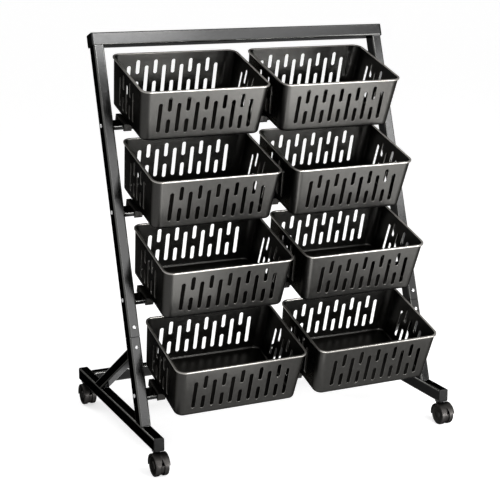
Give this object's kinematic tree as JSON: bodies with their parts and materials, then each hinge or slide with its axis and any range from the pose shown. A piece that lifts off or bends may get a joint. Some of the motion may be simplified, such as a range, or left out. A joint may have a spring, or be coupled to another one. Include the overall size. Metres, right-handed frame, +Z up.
{
  "type": "produce display rack",
  "caption": "Leaning tube-frame display rack on twin-wheel casters, with slotted, tapered baskets in tiers that lift off their crossbars.",
  "frame": {"origin": "centre of the bounding box on the floor", "axes": "+X across the rack's width to the right seen from the front, -Y to the front, +Z up"},
  "size_m": [1.0126, 0.7392, 1.2407],
  "materials": {
    "frame_coat": "satin black powder coat",
    "basket_plastic": "satin dark grey moulded plastic",
    "cap_plastic": "matt dark grey moulded plastic",
    "bolt_zinc": "bright zinc",
    "inner_steel": "plain zinc",
    "caster_plastic": "satin black moulded plastic",
    "wheel_plastic": "black moulded plastic"
  },
  "bodies": {
    "frame": {"base_rail_left": "frame_coat", "lower_post_left": "frame_coat", "upper_post_left": "frame_coat", "brace_left": "frame_coat", "post_sleeve_left": "inner_steel", "rail_spigot_left": "inner_steel", "rail_end_cap_left": "cap_plastic", "base_rail_right": "frame_coat", "lower_post_right": "frame_coat", "upper_post_right": "frame_coat", "brace_right": "frame_coat", "post_sleeve_right": "inner_steel", "rail_spigot_right": "inner_steel", "rail_end_cap_right": "cap_plastic", "rear_stretcher": "frame_coat", "top_rail": "frame_coat", "base_rail_plugs": "cap_plastic", "crossbar_inserts": "inner_steel", "caster_bushes": "inner_steel", "crossbar_bolts": "bolt_zinc", "post_joint_bolts": "bolt_zinc", "rail_spigot_bolts": "bolt_zinc", "crossbar_1": "frame_coat", "crossbar_2": "frame_coat", "crossbar_3": "frame_coat", "crossbar_4": "frame_coat", "caster_stem_front_left": "inner_steel", "caster_stem_rear_left": "inner_steel", "caster_stem_front_right": "inner_steel", "caster_stem_rear_right": "inner_steel"},
    "basket_1_left": {"basket_1_left": "basket_plastic"},
    "basket_1_right": {"basket_1_right": "basket_plastic"},
    "basket_2_left": {"basket_2_left": "basket_plastic"},
    "basket_2_right": {"basket_2_right": "basket_plastic"},
    "basket_3_left": {"basket_3_left": "basket_plastic"},
    "basket_3_right": {"basket_3_right": "basket_plastic"},
    "basket_4_left": {"basket_4_left": "basket_plastic"},
    "basket_4_right": {"basket_4_right": "basket_plastic"},
    "caster_front_left": {"caster_hood_front_left": "caster_plastic", "caster_axle_front_left": "inner_steel"},
    "wheel_outer_front_left": {"wheel_outer_front_left": "wheel_plastic"},
    "wheel_inner_front_left": {"wheel_inner_front_left": "wheel_plastic"},
    "caster_rear_left": {"caster_hood_rear_left": "caster_plastic", "caster_axle_rear_left": "inner_steel"},
    "wheel_outer_rear_left": {"wheel_outer_rear_left": "wheel_plastic"},
    "wheel_inner_rear_left": {"wheel_inner_rear_left": "wheel_plastic"},
    "caster_front_right": {"caster_hood_front_right": "caster_plastic", "caster_axle_front_right": "inner_steel"},
    "wheel_outer_front_right": {"wheel_outer_front_right": "wheel_plastic"},
    "wheel_inner_front_right": {"wheel_inner_front_right": "wheel_plastic"},
    "caster_rear_right": {"caster_hood_rear_right": "caster_plastic", "caster_axle_rear_right": "inner_steel"},
    "wheel_outer_rear_right": {"wheel_outer_rear_right": "wheel_plastic"},
    "wheel_inner_rear_right": {"wheel_inner_rear_right": "wheel_plastic"}
  },
  "joints": [
    {"name": "basket_1_left_lift", "type": "slide", "parent": "frame", "child": "basket_1_left", "axis": [0, -0.309, 0.9511], "range_m": [0, 0.02]},
    {"name": "basket_1_right_lift", "type": "slide", "parent": "frame", "child": "basket_1_right", "axis": [0, -0.309, 0.9511], "range_m": [0, 0.02]},
    {"name": "basket_2_left_lift", "type": "slide", "parent": "frame", "child": "basket_2_left", "axis": [0, -0.309, 0.9511], "range_m": [0, 0.02]},
    {"name": "basket_2_right_lift", "type": "slide", "parent": "frame", "child": "basket_2_right", "axis": [0, -0.309, 0.9511], "range_m": [0, 0.02]},
    {"name": "basket_3_left_lift", "type": "slide", "parent": "frame", "child": "basket_3_left", "axis": [0, -0.309, 0.9511], "range_m": [0, 0.02]},
    {"name": "basket_3_right_lift", "type": "slide", "parent": "frame", "child": "basket_3_right", "axis": [0, -0.309, 0.9511], "range_m": [0, 0.02]},
    {"name": "basket_4_left_lift", "type": "slide", "parent": "frame", "child": "basket_4_left", "axis": [0, -0.309, 0.9511], "range_m": [0, 0.02]},
    {"name": "basket_4_right_lift", "type": "slide", "parent": "frame", "child": "basket_4_right", "axis": [0, -0.309, 0.9511], "range_m": [0, 0.02]},
    {"name": "caster_front_left_swivel", "type": "hinge", "parent": "frame", "child": "caster_front_left", "pos_m": [-0.484, -0.30843, 0.05], "axis": [0, 0, 1], "continuous": true},
    {"name": "wheel_outer_front_left_spin", "type": "hinge", "parent": "caster_front_left", "child": "wheel_outer_front_left", "pos_m": [-0.484, -0.32843, 0.0325], "axis": [1, 0, 0], "continuous": true},
    {"name": "wheel_inner_front_left_spin", "type": "hinge", "parent": "caster_front_left", "child": "wheel_inner_front_left", "pos_m": [-0.484, -0.32843, 0.0325], "axis": [1, 0, 0], "continuous": true},
    {"name": "caster_rear_left_swivel", "type": "hinge", "parent": "frame", "child": "caster_rear_left", "pos_m": [-0.484, 0.34657, 0.05], "axis": [0, 0, 1], "continuous": true},
    {"name": "wheel_outer_rear_left_spin", "type": "hinge", "parent": "caster_rear_left", "child": "wheel_outer_rear_left", "pos_m": [-0.484, 0.32657, 0.0325], "axis": [1, 0, 0], "continuous": true},
    {"name": "wheel_inner_rear_left_spin", "type": "hinge", "parent": "caster_rear_left", "child": "wheel_inner_rear_left", "pos_m": [-0.484, 0.32657, 0.0325], "axis": [1, 0, 0], "continuous": true},
    {"name": "caster_front_right_swivel", "type": "hinge", "parent": "frame", "child": "caster_front_right", "pos_m": [0.484, -0.30843, 0.05], "axis": [0, 0, 1], "continuous": true},
    {"name": "wheel_outer_front_right_spin", "type": "hinge", "parent": "caster_front_right", "child": "wheel_outer_front_right", "pos_m": [0.484, -0.32843, 0.0325], "axis": [1, 0, 0], "continuous": true},
    {"name": "wheel_inner_front_right_spin", "type": "hinge", "parent": "caster_front_right", "child": "wheel_inner_front_right", "pos_m": [0.484, -0.32843, 0.0325], "axis": [1, 0, 0], "continuous": true},
    {"name": "caster_rear_right_swivel", "type": "hinge", "parent": "frame", "child": "caster_rear_right", "pos_m": [0.484, 0.34657, 0.05], "axis": [0, 0, 1], "continuous": true},
    {"name": "wheel_outer_rear_right_spin", "type": "hinge", "parent": "caster_rear_right", "child": "wheel_outer_rear_right", "pos_m": [0.484, 0.32657, 0.0325], "axis": [1, 0, 0], "continuous": true},
    {"name": "wheel_inner_rear_right_spin", "type": "hinge", "parent": "caster_rear_right", "child": "wheel_inner_rear_right", "pos_m": [0.484, 0.32657, 0.0325], "axis": [1, 0, 0], "continuous": true}
  ]
}
